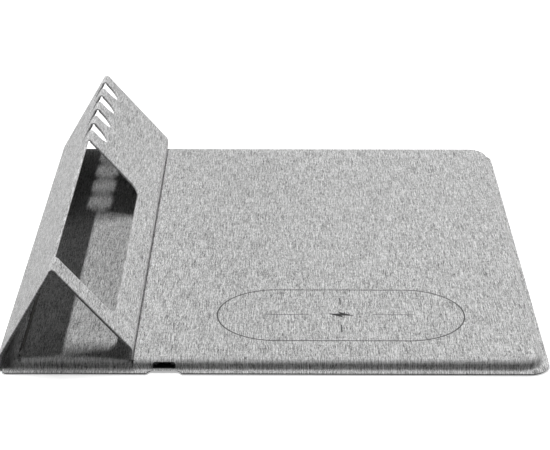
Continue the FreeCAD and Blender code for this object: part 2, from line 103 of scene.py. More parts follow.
# ---- sizes ----
PLY = 0.45               # fabric on each face of a stiff sheet
CORE = 0.9               # the stiff sheet itself
HALF_SHEET = CORE / 2 + PLY
EDGE_TURN = 0.5          # fabric folded round the board's edge
EDGE_SOFT = 0.7          # rounding of a folded edge
EDGE_GROOVE = 0.08       # hairline where outer fabric and lining meet
PRESSED_BAND = 2.0       # strip beside an edge over which its lightening, partly wear and partly painted highlight, fades out
NARROW_BAND = 0.8        # the same on the narrow strips
NARROW_SHEET = 20.0      # sheets shorter than this are narrow strips
FOLD_MARGIN = 0.8        # straight fabric at each side of a crease
FOLD_STEPS = 8
CELL = 10.0              # longest mesh edge
SHARP_ANGLE = 38.0       # edges that turn more than this are shaded sharp

PANEL_ANGLE = 48.9
FLAP_ANGLE = 59.6
TAB_LEAN = 8.0
FOLD_RADIUS = 1.6        # crease radii, to the middle of the sheet
RIDGE_RADIUS = 1.4
TAB_RADIUS = 6.0
TAB_LENGTH = 3.3

SLOT_COUNT = 4
SLOT_WIDTH = 14.1
SLOT_PITCH = 28.8
SLOT_REACH = 12.8
SLOT_NOSE = 9.9
SLOT_FROM_BACK = 22.0
WINDOW_REACH = 46.5
WINDOW_FROM_FRONT = 17.7
WINDOW_DEPTH = 190.8
WINDOW_CORNER = 7.0

COVER_THICK = 0.6
EDGE_ROUND = 3.0
TOP_BAND = 2.5           # flat strip of the top face beside the rounded edge
MAT_CORNER = 13.0
STAND_CORNER = 8.0
FLARE = 1.4              # fabric's concave foot on the border
SHEET_CORNER = 12.5      # border and underside, on the mat's side
SPINE_CORNER = 2.5       # border and underside, on the stand's side
BORDER_SOFT = 0.34
GRIP_SOFT = 0.2
GRIP_INSET = 0.7         # underside's edge, in from the border's
CREASE_INSET = 6.8       # pressed line on the stand, from its left wall
GROOVE_HALF = 1.2
GROOVE_DEPTH = 1.6
GROOVE_RUN_OUT = 3.0
GROOVE_LIP = 0.25        # depth at which the crease's painted shade, a darker fabric, starts
SEAM_FLOOR = 0.35        # bottom of the seam between stand and mat, under the top face
SEAM_LAP = 1.4           # how far the seam's strip runs under each of them
SEAM_END = 1.2
PORT_FIT = 0.1           # between the bezel and the fabric's opening
PORT_TOP_RADIUS = 1.8
PORT_FOOT_RADIUS = 0.9
PIPING = 0.24            # bound edge of the port's opening
NOTCH_INNER = 13.0       # bay in the border in front of the port, at its back and at its mouth
NOTCH_OUTER = 21.0

mat_low, mat_high = box_mm("mat_cover")
stand_low, stand_high = box_mm("stand_cover")
border_low, border_high = box_mm("border_sheet")
grip_low, grip_high = box_mm("grip_base")
port_low, port_high = box_mm("port_bezel")
TOP_Z = mat_high.z
DECK_Z = border_high.z
HALF_TENT = mat_high.y
FRONT_WALL = mat_low.y
LEDGE = FRONT_WALL - border_low.y
WINDOW_FRONT = FRONT_WALL + WINDOW_FROM_FRONT
WINDOW_BACK = WINDOW_FRONT + WINDOW_DEPTH

PIVOTS = {joint["child"]: Vector(joint["pos_m"]) / MM for joint in frame["joints"]}
PARENTS = {joint["child"]: joint["parent"] for joint in frame["joints"]}

# ---- outlines: loops of points with the material on their left, and how far each edge is set in ----
FREE = 1.0               # an edge with its full rounding
SEAM = 0.6               # a tighter one, where stand and mat meet
JOINT = 0.0              # no edge: the fabric carries on in the next piece


def stepped(points, scales, step):
    """The same loop with points added so that no edge is longer than step."""
    made, made_scales = [], []
    for i, start in enumerate(points):
        end = points[(i + 1) % len(points)]
        pieces = max(1, math.ceil(math.dist(start, end) / step - 1e-6))
        for k in range(pieces):
            t = k / pieces
            made.append((start[0] + (end[0] - start[0]) * t, start[1] + (end[1] - start[1]) * t))
            made_scales.append(scales[i])
    return np.array(made), np.array(made_scales)


def inset(points, scales, distance):
    """The loop moved into the material, each edge by distance times its own scale."""
    ahead = np.roll(points, -1, axis=0) - points
    ahead /= np.linalg.norm(ahead, axis=1)[:, None]
    normal = np.stack([-ahead[:, 1], ahead[:, 0]], axis=1)
    before = np.roll(normal, 1, axis=0)
    move = distance * scales
    move_before = np.roll(move, 1)
    turn = before[:, 0] * normal[:, 1] - before[:, 1] * normal[:, 0]
    straight = np.abs(turn) < 0.01
    safe = np.where(straight, 1.0, turn)
    corner = np.stack([
        (move_before * normal[:, 1] - move * before[:, 1]) / safe,
        (move * before[:, 0] - move_before * normal[:, 0]) / safe,
    ], axis=1)
    return points + np.where(straight[:, None], normal * move[:, None], corner)


def inside(points, loops):
    """Which points lie inside the loops, holes left out."""
    found = np.zeros(len(points), bool)
    for loop in loops:
        x0, y0 = loop[:, 0], loop[:, 1]
        x1, y1 = np.roll(x0, -1), np.roll(y0, -1)
        crosses = (y0[None] > points[:, 1:]) != (y1[None] > points[:, 1:])
        rise = np.where(y1 == y0, 1.0, y1 - y0)
        at = x0[None] + (points[:, 1:] - y0[None]) * ((x1 - x0) / rise)[None]
        found ^= (np.sum(crosses & (points[:, :1] < at), axis=1) % 2).astype(bool)
    return found


def fill(loops, spacing, rows):
    """Points inside the loops and faces over them. rows are lines of constant first coordinate."""
    points = np.concatenate(loops)
    edges, at = [], 0
    for loop in loops:
        edges += [(at + i, at + (i + 1) % len(loop)) for i in range(len(loop))]
        at += len(loop)
    extra = []
    low, high = points.min(0), points.max(0)
    for row in rows:
        on_row = sorted(np.flatnonzero(np.abs(points[:, 0] - row) < 1e-4), key=lambda i: points[i, 1])
        stations = [(points[i, 1], int(i)) for i in on_row] or [(low[1], None), (high[1], None)]
        for (y0, first), (y1, last) in zip(stations, stations[1:]):
            if not inside(np.array([[row + 1e-5, (y0 + y1) / 2]]), loops)[0]:
                continue
            count = max(1, round((y1 - y0) / spacing))
            chain = [first]
            for k in range(1, count):
                chain.append(len(points) + len(extra))
                extra.append((row, y0 + (y1 - y0) * k / count))
            chain.append(last)
            edges += [pair for pair in zip(chain, chain[1:]) if None not in pair]
    if not len(rows) or spacing < 2 * (high[0] - low[0]):
        xs = np.arange(low[0] + spacing / 2, high[0], spacing)
        ys = np.arange(low[1] + spacing / 2, high[1], spacing)
        grid = np.array([(x, y) for x in xs for y in ys]).reshape(-1, 2)
        taken = np.concatenate([points, np.array(extra).reshape(-1, 2)])
        if len(grid):
            gap = np.sqrt(((grid[:, None] - taken[None]) ** 2).sum(2)).min(1)
            clear = np.min([np.abs(grid[:, 0] - row) for row in rows], axis=0) if len(rows) else gap
            grid = grid[(gap > spacing * 0.4) & (clear > spacing * 0.3)]
            grid = grid[inside(grid, loops)] if len(grid) else grid
            extra += [tuple(p) for p in grid]
    every = [Vector(p) for p in points] + [Vector(p) for p in extra]
    out, _, faces, sources, _, _ = delaunay_2d_cdt(every, edges, [], 0, 1e-5, True)
    added = []
    index = []
    for point, source in zip(out, sources):
        if source:
            index.append(source[0])
        else:
            index.append(len(every) + len(added))
            added.append(tuple(point))
    middle = np.array([sum((out[i] for i in f), Vector((0, 0))) / 3 for f in faces])
    keep = inside(middle, loops)
    return extra + added, [[index[i] for i in f] for f, kept in zip(faces, keep) if kept]


def skin(name, outlines, rings, place, rows=()):
    """Closed mesh over flat outlines. rings run from the bottom face's rim to the top face's rim, as
    (inset, level, worn_and_lit), the last a lightening of the edge that is partly wear and partly painted
    highlight. place turns flat coordinates and a level into points of the shared frame."""
    flat, levels, wear_and_highlight, faces = [], [], [], []
    last = len(rings) - 1
    rims = {0: [], last: []}
    at = []
    for points, scales in outlines:
        middle_of_joint = (scales == JOINT) & (np.roll(scales, 1) == JOINT)
        table = np.full((last + 1, len(points)), -1)
        for j, (distance, level, worn_and_lit) in enumerate(rings):
            moved = inset(points, scales, distance)
            if j in rims:
                rims[j].append(moved)
            for i, point in enumerate(moved):
                if middle_of_joint[i] and 0 < j < last:
                    continue
                table[j, i] = len(flat)
                flat.append(tuple(point))
                levels.append(level)
                wear_and_highlight.append(worn_and_lit)
        at.append(table)
        count = len(points)
        for i in range(count):
            if scales[i] != JOINT:
                k = (i + 1) % count
                faces += [[table[j, i], table[j, k], table[j + 1, k], table[j + 1, i]]
                          for j in range(last)]
            elif not middle_of_joint[i]:
                run = [i]
                while scales[run[-1]] == JOINT:
                    run.append((run[-1] + 1) % count)
                faces.append([table[j, run[0]] for j in range(last + 1)]
                             + [table[last, k] for k in run[1:-1]]
                             + [table[j, run[-1]] for j in range(last, -1, -1)]
                             + [table[0, k] for k in run[-2:0:-1]])
    fills = []
    for j in (last, 0):
        extra, patches = fill(rims[j], CELL, rows)
        known = np.concatenate([table[j] for table in at])
        start = len(flat)
        flat += extra
        levels += [rings[j][1]] * len(extra)
        wear_and_highlight += [0.0] * len(extra)
        for patch in patches:
            fills.append(len(faces))
            faces.append([known[i] if i < len(known) else start + i - len(known) for i in patch])
    flat = np.array(flat)
    solid = place(flat[:, 0], flat[:, 1], np.array(levels))
    obj = mesh_object(name, solid, faces, fills)
    write_attribute(obj, "wear_and_highlight", np.array(wear_and_highlight))
    return obj, flat


def mesh_object(name, solid, faces, fills=()):
    """Mesh from points in millimetres, with the triangles of its flat parts joined to quads."""
    bm = bmesh.new()
    verts = [bm.verts.new(point) for point in np.asarray(solid) * MM]
    made = [bm.faces.new([verts[i] for i in face]) for face in faces]
    bmesh.ops.recalc_face_normals(bm, faces=bm.faces)
    if len(fills):
        bmesh.ops.join_triangles(bm, faces=[made[i] for i in fills], cmp_seam=False, cmp_sharp=False,
                                 cmp_uvs=False, cmp_vcols=False, cmp_materials=False,
                                 angle_face_threshold=math.radians(3),
                                 angle_shape_threshold=math.radians(50))
    mesh = bpy.data.meshes.new(name)
    bm.to_mesh(mesh)
    bm.free()
    return linked(name, mesh)


def linked(name, mesh):
    obj = bpy.data.objects.new(name, mesh)
    bpy.context.scene.collection.objects.link(obj)
    shade_smooth(mesh)
    return obj


def shade_smooth(mesh):
    mesh.polygons.foreach_set("use_smooth", [True] * len(mesh.polygons))
    mesh.set_sharp_from_angle(angle=math.radians(SHARP_ANGLE))


def write_attribute(obj, name, values):
    kind, field = ("FLOAT", "value") if values.ndim == 1 else ("FLOAT_VECTOR", "vector")
    attribute = obj.data.attributes.new(name, kind, "POINT")
    attribute.data.foreach_set(field, values.astype(np.float32).ravel())


def weave_along(obj, flat, start):
    """Fabric coordinates: along the strip from its first crease, and along the pad, in metres."""
    flat = np.column_stack([flat[:, 0] + start, flat[:, 1], np.zeros(len(flat))])
    write_attribute(obj, "weave", flat * MM)


# ---- frames of the tent: straight sheets and creases, in the order the strip runs ----

def along(angle):
    return np.array([math.cos(math.radians(angle)), 0, math.sin(math.radians(angle))])


def straight_place(pivot, direction, radius):
    """Flat sheet that lies at its crease radius outside the pivot."""
    def place(s, y, h):
        return (np.array(pivot)[None] + np.outer(s, along(direction))
                + np.outer(radius + h, along(direction + 90)) + np.outer(y, (0, 1, 0)))
    return place


def bent_place(pivot, radius, start, end, floor_level):
    """Crease round the pivot. A level runs from 0, its inner face, to 1, its outer face."""
    length = math.radians(start - end) * radius

    def place(s, y, level):
        turned = np.clip(s, 0, length)
        angle = np.radians(start) - turned / radius
        beyond = s - turned
        pinch = np.clip(np.minimum(s + FOLD_MARGIN, length + FOLD_MARGIN - s) / (2 * FOLD_MARGIN), 0, 1)
        low = -HALF_SHEET + (floor_level + HALF_SHEET) * pinch ** 2 * (3 - 2 * pinch)
        reach = radius + low + (HALF_SHEET - low) * level
        out = np.column_stack([np.cos(angle), np.zeros(len(s)), np.sin(angle)])
        onward = np.column_stack([np.sin(angle), np.zeros(len(s)), -np.cos(angle)])
        return (np.array(pivot)[None] + out * reach[:, None] + onward * beyond[:, None]
                + np.outer(y, (0, 1, 0)))
    return place, length


def slot_centres():
    last = HALF_TENT - SLOT_FROM_BACK
    return [last - SLOT_PITCH * i for i in range(SLOT_COUNT)]


def slot_notch(centre):
    """One pen slot as (depth from the crease, y), from its back side to its front side."""
    half = SLOT_WIDTH / 2
    straight = SLOT_REACH - SLOT_NOSE
    turns = [math.pi / 2 - math.pi * k / 20 for k in range(21)]
    return [(straight + SLOT_NOSE * math.cos(a), centre + half * math.sin(a)) for a in turns]


def window_notch():
    corner = WINDOW_REACH - WINDOW_CORNER
    quarter = [math.pi / 2 * k / 8 for k in range(9)]
    back = [(corner + WINDOW_CORNER * math.sin(a), WINDOW_BACK - WINDOW_CORNER * (1 - math.cos(a)))
            for a in quarter]
    front = [(depth, WINDOW_FRONT + WINDOW_BACK - y) for depth, y in reversed(back)]
    return back + front


def sheet_outline(s0, s1, low_notches, high_notches, length, high_edge):
    """Rectangle from s0 to s1 over the tent's depth, with notches cut in from its creases."""
    points = [(s0, -HALF_TENT), (s1, -HALF_TENT)]
    scales = [FREE, high_edge]
    for notch in sorted(high_notches, key=lambda n: n[0][1]):
        points.append((s1, notch[-1][1]))
        scales.append(FREE)
        points += [(length - depth, y) for depth, y in reversed(notch)]
        scales += [FREE] * len(notch)
        points.append((s1, notch[0][1]))
        scales.append(high_edge)
    points += [(s1, HALF_TENT), (s0, HALF_TENT)]
    scales += [FREE, JOINT]
    for notch in sorted(low_notches, key=lambda n: -n[0][1]):
        points.append((s0, notch[0][1]))
        scales.append(FREE)
        points += list(notch)
        scales += [FREE] * len(notch)
        points.append((s0, notch[-1][1]))
        scales.append(JOINT)
    return stepped(points, scales, CELL)


def ply_rings(side, band):
    """Rim of one fabric: round the board's edge from the meeting line to its face."""
    soft = HALF_SHEET - EDGE_SOFT
    rings = [(EDGE_TURN, CORE / 2, 1.0), (EDGE_TURN, 0.0, 1.0), (EDGE_GROOVE, 0.0, 1.0),
             (0.0, EDGE_GROOVE, 1.0), (0.0, soft, 1.0)]
    for turn in (30, 60, 90):
        a = math.radians(turn)
        rings.append((EDGE_SOFT * (1 - math.cos(a)), soft + EDGE_SOFT * math.sin(a), 1.0))
    rings.append((EDGE_SOFT + band, HALF_SHEET, 0.0))
    return [(distance, side * level, worn_and_lit) for distance, level, worn_and_lit in rings]


def fold_rings():
    """Rim of a bent strip, rounded towards both of its faces."""
    soft = 0.3
    return [(soft, 0.0, 1.0), (soft * 0.3, 0.06, 1.0), (0.0, 0.2, 1.0), (0.0, 0.8, 1.0),
            (soft * 0.3, 0.94, 1.0), (soft, 1.0, 1.0)]


def make_fold(node, child, radius, start, end, floor_level, strip_start, islands):
    """Bent strip over a crease, baked in place. It also returns its parent, its child and two places
    inside its two ends; no blend is set up from them here.
    """
    pivot = PIVOTS[child]
    place, length = bent_place(pivot, radius, start, end, floor_level)
    rows = [length * k / FOLD_STEPS for k in range(FOLD_STEPS + 1)]
    outlines = [fold_outline(length, rows, *island) for island in islands]
    obj, flat = skin(f"{node}_fabric", outlines, fold_rings(), place, rows=rows)
    weave_along(obj, flat, strip_start)
    reach = radius * 0.8
    first = (np.array(pivot) + along(start) * reach) * MM
    final = (np.array(pivot) + along(end) * reach) * MM
    return obj, length, (PARENTS[child], child, tuple(first), tuple(final))


def fold_outline(length, rows, y0, y1, window):
    """Rectangle over a crease. Where the window opens it, only the half towards the flap is left."""
    s0, s1, middle = -FOLD_MARGIN, length + FOLD_MARGIN, rows[FOLD_STEPS // 2]
    points = [(s0, y0)] + [(s, y0) for s in rows] + [(s1, y0)]
    scales = [FREE] * (len(points) - 1) + [JOINT]
    if window:
        upper = [s for s in rows if s >= middle - 1e-6]
        points += [(s1, WINDOW_FRONT)] + [(s, WINDOW_FRONT) for s in reversed(upper)]
        scales += [FREE] * (len(upper) + 1)
        points += [(s, WINDOW_BACK) for s in upper] + [(s1, WINDOW_BACK)]
        scales += [FREE] * len(upper) + [JOINT]
    points += [(s1, y1)] + [(s, y1) for s in reversed(rows)] + [(s0, y1)]
    scales += [FREE] * (len(rows) + 1) + [JOINT]
    return stepped(points, scales, CELL)


# ---- materials ----

class Nodes:
    """Small helper that adds and links shader nodes."""

    def __init__(self, name):
        self.material = bpy.data.materials.new(name)
        self.material.use_nodes = True
        self.tree = self.material.node_tree
        self.shader = self.tree.nodes["Principled BSDF"]

    def add(self, kind, inputs=None, **settings):
        node = self.tree.nodes.new(kind)
        for key, value in settings.items():
            setattr(node, key, value)
        for key, value in (inputs or {}).items():
            self.put(node.inputs[key], value)
        return node

    def put(self, socket, value):
        if isinstance(value, bpy.types.NodeSocket):
            self.tree.links.new(value, socket)
        else:
            socket.default_value = value

    def math(self, operation, a, b=0.0, c=0.0):
        return self.add("ShaderNodeMath", {0: a, 1: b, 2: c}, operation=operation).outputs[0]

    def scaled(self, vector, factors):
        return self.add("ShaderNodeVectorMath", {0: vector, 1: factors}, operation="MULTIPLY").outputs[0]

    def noise(self, vector, sizes, detail, rough, offset=0.0):
        """Noise whose cells have these sizes in millimetres."""
        spread = self.scaled(vector, [1 / (size * MM) for size in sizes])
        moved = self.add("ShaderNodeVectorMath", {0: spread, 1: (offset, offset * 0.7, offset * 1.3)})
        node = self.add("ShaderNodeTexNoise", {"Vector": moved.outputs[0], "Scale": 1.0, "Detail": detail,
                                               "Roughness": rough})
        return node.outputs["Fac"]

    def mix(self, factor, a, b, blend="MIX"):
        node = self.add("ShaderNodeMix", data_type="RGBA", blend_type=blend)
        self.put(node.inputs["Factor"], factor)
        self.put(node.inputs["A"], a)
        self.put(node.inputs["B"], b)
        return node.outputs["Result"]

    def bump(self, height, depth, strength):
        inputs = {"Height": height, "Distance": depth, "Strength": strength}
        return self.add("ShaderNodeBump", inputs).outputs[0]

    def surface(self, **values):
        for key, value in values.items():
            self.put(self.shader.inputs[key.replace("_", " ")], value)


def grey(value, warm=0.0):
    return (value * (1 + warm), value, value * (1 - warm), 1.0)


THREAD = 0.44            # distance between neighbouring threads


def plain_weave(n, vector):
    """Height of a plain weave: two sets of threads that pass over and under each other."""
    cells = n.add("ShaderNodeSeparateXYZ", {0: n.scaled(vector, [1 / (THREAD * MM)] * 3)})
    u, v = cells.outputs[0], cells.outputs[1]
    crest_u = n.math("ABSOLUTE", n.math("SINE", n.math("MULTIPLY", u, math.pi)))
    crest_v = n.math("ABSOLUTE", n.math("SINE", n.math("MULTIPLY", v, math.pi)))
    parity = n.math("MODULO", n.math("ADD", n.math("FLOOR", u), n.math("FLOOR", v)), 2.0)
    over = n.math("ABSOLUTE", parity)
    under = n.math("SUBTRACT", 1.0, over)
    warp = n.math("MULTIPLY", crest_u, n.math("MULTIPLY_ADD", over, 0.45, 0.55))
    weft = n.math("MULTIPLY", crest_v, n.math("MULTIPLY_ADD", under, 0.45, 0.55))
    return n.math("MAXIMUM", warp, weft)


def melange(n, vector, dark, light, worn_and_lit):
    """Colour and height of a melange weave: slub streaks both ways, mottling and threads, with painted
    shade between the threads and edges lightened by worn_and_lit, partly wear and partly painted
    highlight.
    """
    slub_long = n.noise(vector, (0.44, 15.0, 1.0), 1.0, 0.5)
    slub_fine = n.noise(vector, (0.33, 4.0, 1.0), 1.0, 0.5, offset=31.0)
    slub_short = n.noise(vector, (0.32, 1.4, 1.0), 0.0, 0.5, offset=45.0)
    slub_cross = n.noise(vector, (7.5, 0.7, 1.0), 1.0, 0.5, offset=57.0)
    cloud = n.noise(vector, (9.0, 16.0, 1.0), 2.0, 0.5, offset=83.0)
    tone = n.math("MULTIPLY", slub_long, 1.3)
    for slub, weight in ((slub_fine, 1.4), (slub_short, 1.0), (slub_cross, 0.5), (cloud, 0.2)):
        tone = n.math("MULTIPLY_ADD", slub, weight, tone)
    tone = n.math("SUBTRACT", tone, 1.66)
    ramp = n.add("ShaderNodeValToRGB", {"Fac": tone})
    ramp.color_ramp.elements[0].position = 0.0
    ramp.color_ramp.elements[0].color = grey(dark)
    ramp.color_ramp.elements[1].position = 1.0
    ramp.color_ramp.elements[1].color = grey(light)
    relief = plain_weave(n, vector)
    # painted shade: the colour is darkened where the threads dip between their crossings
    shade = n.math("MULTIPLY_ADD", relief, 0.34, 0.72)
    shading = n.add("ShaderNodeCombineColor", {0: shade, 1: shade, 2: shade}).outputs[0]
    colour = n.mix(1.0, ramp.outputs["Color"], shading, "MULTIPLY")
    # edges lightened towards pale grey by worn_and_lit: partly wear, partly a painted highlight on the
    # rounded edges
    if worn_and_lit is not None:
        colour = n.mix(n.math("MULTIPLY", worn_and_lit, 0.30), colour, grey(0.72))
    height = n.math("MULTIPLY_ADD", slub_long, 0.5, relief)
    return colour, height


def fabric(name, dark, light):
    """Melange fabric that follows each piece's own weave coordinates and its wear_and_highlight attribute,
    which lightens edges partly as wear and partly as painted highlight.
    """
    n = Nodes(name)
    vector = n.add("ShaderNodeAttribute", attribute_name="weave").outputs["Vector"]
    worn_and_lit = n.add("ShaderNodeAttribute", attribute_name="wear_and_highlight").outputs["Fac"]
    colour, height = melange(n, vector, dark, light, worn_and_lit)
    fuzz = n.noise(vector, (0.12, 0.3, 1.0), 1.0, 0.5, offset=9.0)
    n.surface(Base_Color=colour, Roughness=n.math("MULTIPLY_ADD", fuzz, 0.12, 0.80),
              Normal=n.bump(n.math("MULTIPLY_ADD", fuzz, 0.25, height), 0.12 * MM, 0.55),
              Sheen_Weight=0.12, Sheen_Roughness=0.45, Specular_IOR_Level=0.25)
    return n.material


FABRIC_DARK = 0.12
FABRIC_LIGHT = 0.96
outer_fabric = fabric("melange_fabric", FABRIC_DARK, FABRIC_LIGHT)
# lining: the outer fabric darkened to 0.88 as painted shade on the tent's inner faces
lining_fabric = fabric("lining_fabric", FABRIC_DARK * 0.88, FABRIC_LIGHT * 0.88)
# stand cover: the same fabric darkened to 0.78 as painted shade for the stand under the tent
stand_fabric = fabric("stand_fabric", FABRIC_DARK * 0.78, FABRIC_LIGHT * 0.78)
# painted shade: near-black copy of the fabric for the faces down in the stand's crease
crease_fabric = fabric("crease_fabric", FABRIC_DARK * 0.1, FABRIC_LIGHT * 0.1)
border_fabric = fabric("border_fabric", FABRIC_DARK * 1.05, FABRIC_LIGHT * 1.02)


def rubber_material():
    """Non-slip underside: dark foam rubber with small round studs in rows."""
    n = Nodes("grip_rubber")
    vector = n.add("ShaderNodeTexCoord").outputs["Object"]
    dots = n.add("ShaderNodeTexVoronoi", {"Vector": vector, "Scale": 1 / (2.6 * MM), "Randomness": 0.0})
    stud = n.math("SMOOTH_MIN", dots.outputs["Distance"], 0.36, 0.12)
    grain = n.noise(vector, (0.25, 0.25, 0.25), 3.0, 0.6)
    cloud = n.noise(vector, (22.0, 22.0, 22.0), 2.0, 0.5, offset=4.0)
    mottle = n.math("MULTIPLY_ADD", grain, 0.5, n.math("MULTIPLY", cloud, 0.5))
    colour = n.mix(mottle, grey(0.09), grey(0.16))
    height = n.math("MULTIPLY_ADD", grain, 0.12, n.math("MULTIPLY", stud, -1.0))
    n.surface(Base_Color=colour, Roughness=n.math("MULTIPLY_ADD", grain, 0.2, 0.62),
              Normal=n.bump(height, 0.5 * MM, 0.6), Specular_IOR_Level=0.35)
    return n.material


SYMBOL_REACH = 11.0      # the print is solid this near its middle, where the bolt is


def ink_material():
    """Screen print on the weave: the fabric shows through where the ink is thin."""
    n = Nodes("print_ink")
    vector = n.add("ShaderNodeTexCoord").outputs["Object"]
    colour, height = melange(n, vector, FABRIC_DARK, FABRIC_LIGHT, None)
    low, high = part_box("charging_mark")
    away = n.add("ShaderNodeVectorMath", {0: vector, 1: tuple((low + high) / 2)}, operation="DISTANCE")
    near = n.math("LESS_THAN", away.outputs["Value"], SYMBOL_REACH * MM)
    broken = n.noise(vector, (0.4, 1.2, 1.0), 2.0, 0.6, offset=12.0)
    cover = n.math("MULTIPLY_ADD", near, 0.30, n.math("MULTIPLY_ADD", broken, 0.3, 0.72))
    colour = n.mix(n.math("MINIMUM", cover, 1.0), colour, grey(0.055))
    n.surface(Base_Color=colour, Roughness=n.math("MULTIPLY_ADD", broken, 0.15, 0.6),
              Normal=n.bump(height, 0.08 * MM, 0.5), Specular_IOR_Level=0.3)
    return n.material


def speckled(name, dark, light, size, rough, metal=0.0, bump=0.02, stretch=(1, 1, 1)):
    """Plain hard material with fine mottling: moulded plastic, board, metal."""
    n = Nodes(name)
    vector = n.add("ShaderNodeTexCoord").outputs["Object"]
    fine = n.noise(vector, [size * k for k in stretch], 3.0, 0.6)
    broad = n.noise(vector, (size * 12,) * 3, 2.0, 0.5, offset=5.0)
    blend = n.math("MULTIPLY_ADD", fine, 0.6, n.math("MULTIPLY", broad, 0.4))
    n.surface(Base_Color=n.mix(blend, dark, light), Metallic=metal,
              Roughness=n.math("MULTIPLY_ADD", fine, 0.18, rough - 0.09),
              Normal=n.bump(fine, bump * MM, 0.5))
    return n.material


def solder_mask():
    """Circuit board: green mask with tracks that run both ways and bright pads."""
    n = Nodes("circuit_board")
    vector = n.add("ShaderNodeTexCoord").outputs["Object"]
    brick = n.add("ShaderNodeTexBrick", {"Vector": vector, "Scale": 1 / (5.0 * MM), "Mortar Size": 0.03,
                                         "Color1": (0.010, 0.09, 0.045, 1),
                                         "Color2": (0.014, 0.11, 0.055, 1),
                                         "Mortar": (0.03, 0.20, 0.09, 1)})
    pads = n.add("ShaderNodeTexVoronoi", {"Vector": vector, "Scale": 1 / (2.2 * MM), "Randomness": 0.6})
    pad = n.math("LESS_THAN", pads.outputs["Distance"], 0.16)
    n.surface(Base_Color=n.mix(pad, brick.outputs["Color"], (0.75, 0.62, 0.35, 1)),
              Metallic=n.math("MULTIPLY", pad, 0.8), Roughness=n.math("MULTIPLY_ADD", pad, -0.1, 0.42),
              Normal=n.bump(brick.outputs["Fac"], 0.04 * MM, 0.4))
    return n.material


CAD_MATERIALS = {
    "print_ink": ink_material(),
    "core_board": speckled("core_board", grey(0.22, 0.04), grey(0.40, 0.04), 0.4, 0.85, stretch=(1, 6, 1)),
    "black_plastic": speckled("black_plastic", grey(0.010), grey(0.026), 0.3, 0.45, bump=0.03),
    "white_plastic": speckled("white_plastic", grey(0.62), grey(0.74), 0.5, 0.40),
    "ferrite": speckled("ferrite", grey(0.03), grey(0.07), 0.3, 0.55),
    "copper_wire": speckled("copper_wire", (0.55, 0.22, 0.09, 1), (0.80, 0.36, 0.16, 1), 0.5, 0.28,
                            metal=1.0),
    "circuit_board": solder_mask(),
    "chip_black": speckled("chip_black", grey(0.012), grey(0.035), 0.15, 0.55),
    "passive_tan": speckled("passive_tan", (0.42, 0.31, 0.19, 1), (0.60, 0.46, 0.30, 1), 0.3, 0.45),
    "connector_steel": speckled("connector_steel", grey(0.52), grey(0.70), 0.2, 0.26, metal=1.0,
                                stretch=(8, 1, 8)),
    "magnet_nickel": speckled("magnet_nickel", grey(0.60, 0.02), grey(0.78, 0.02), 0.4, 0.20, metal=1.0),
    "cable_jacket": speckled("cable_jacket", grey(0.05), grey(0.10), 0.3, 0.5),
}


def finish_piece(obj, material, body=None, blended=None, replaces=()):
    """Give a piece its material, attach it to its body or, when blended is given, bake its place into its
    mesh on no body, and hide the CAD parts it replaces.
    """
    obj.data.materials.clear()
    obj.data.materials.append(material)
    if blended:
        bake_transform(obj)
    else:
        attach(obj, body)
    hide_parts(*replaces)


# ---- tent ----

DIRECTIONS = {"base": 180.0, "spine": 90.0, "flap": FLAP_ANGLE, "panel": -PANEL_ANGLE,
              "tab": -90 - TAB_LEAN}
RADII = {"spine": FOLD_RADIUS, "flap": FOLD_RADIUS, "panel": RIDGE_RADIUS, "tab": TAB_RADIUS}
FOLD_NODES = {"spine": "base_fold", "flap": "spine_fold", "panel": "ridge_fold", "tab": "tab_fold"}
FLOOR_LEVELS = {"spine": -0.3, "flap": -0.2, "panel": -0.2, "tab": -0.3}


def ridge_islands():
    """Stretches of the ridge between slots; the window opens the longest one."""
    half = SLOT_WIDTH / 2
    cuts = [(y - half, y + half) for y in reversed(slot_centres())]
    lows = [-HALF_TENT] + [high for _, high in cuts]
    highs = [low for low, _ in cuts] + [HALF_TENT]
    return [(low, high, i == 0) for i, (low, high) in enumerate(zip(lows, highs))]


def straight_length(child, following):
    """Length of a straight sheet between the tangent points of its two creases."""
    step = PIVOTS[following] - PIVOTS[child]
    return float(np.dot(np.array(step), along(DIRECTIONS[child])))


def make_tent():
    parts = list(DIRECTIONS)[1:]
    strip = 0.0
    slots = [slot_notch(y) for y in slot_centres()]
    for number, child in enumerate(parts):
        start = DIRECTIONS[PARENTS[child]] + 90
        end = DIRECTIONS[child] + 90
        islands = ridge_islands() if child == "panel" else [(-HALF_TENT, HALF_TENT, False)]
        fold, bend_length, blended = make_fold(FOLD_NODES[child], child, RADII[child], start, end,
                                               FLOOR_LEVELS[child], strip, islands)
        finish_piece(fold, outer_fabric, blended=blended, replaces=[FOLD_NODES[child]])
        strip += bend_length
        is_last = number == len(parts) - 1
        length = TAB_LENGTH if is_last else straight_length(child, parts[number + 1])
        low_notches = slots + [window_notch()] if child == "panel" else []
        high_notches = slots if child == "flap" else []
        far = length if is_last else length - FOLD_MARGIN
        far_edge = FREE if is_last else JOINT
        outline = sheet_outline(FOLD_MARGIN, far, low_notches, high_notches, length, far_edge)
        make_plies(child, outline, length, strip)
        strip += length


def make_plies(child, outline, length, strip):
    """Outer fabric and lining of one side of the tent. The wide ones get the wider pressed band at their
    edges.
    """
    wide = length > NARROW_SHEET
    band = PRESSED_BAND if wide else NARROW_BAND
    place = straight_place(PIVOTS[child], DIRECTIONS[child], RADII[child])
    for layer, side, material, slot_name in (("cover", 1, outer_fabric, "melange_fabric"),
                                             ("lining", -1, lining_fabric, "lining_fabric")):
        node = f"{child}_{layer}"
        obj, flat = skin(f"{node}_fabric", [outline], ply_rings(side, band), place)
        weave_along(obj, flat, strip)
        finish_piece(obj, material, body=child, replaces=[node])


make_tent()

# ---- base ----

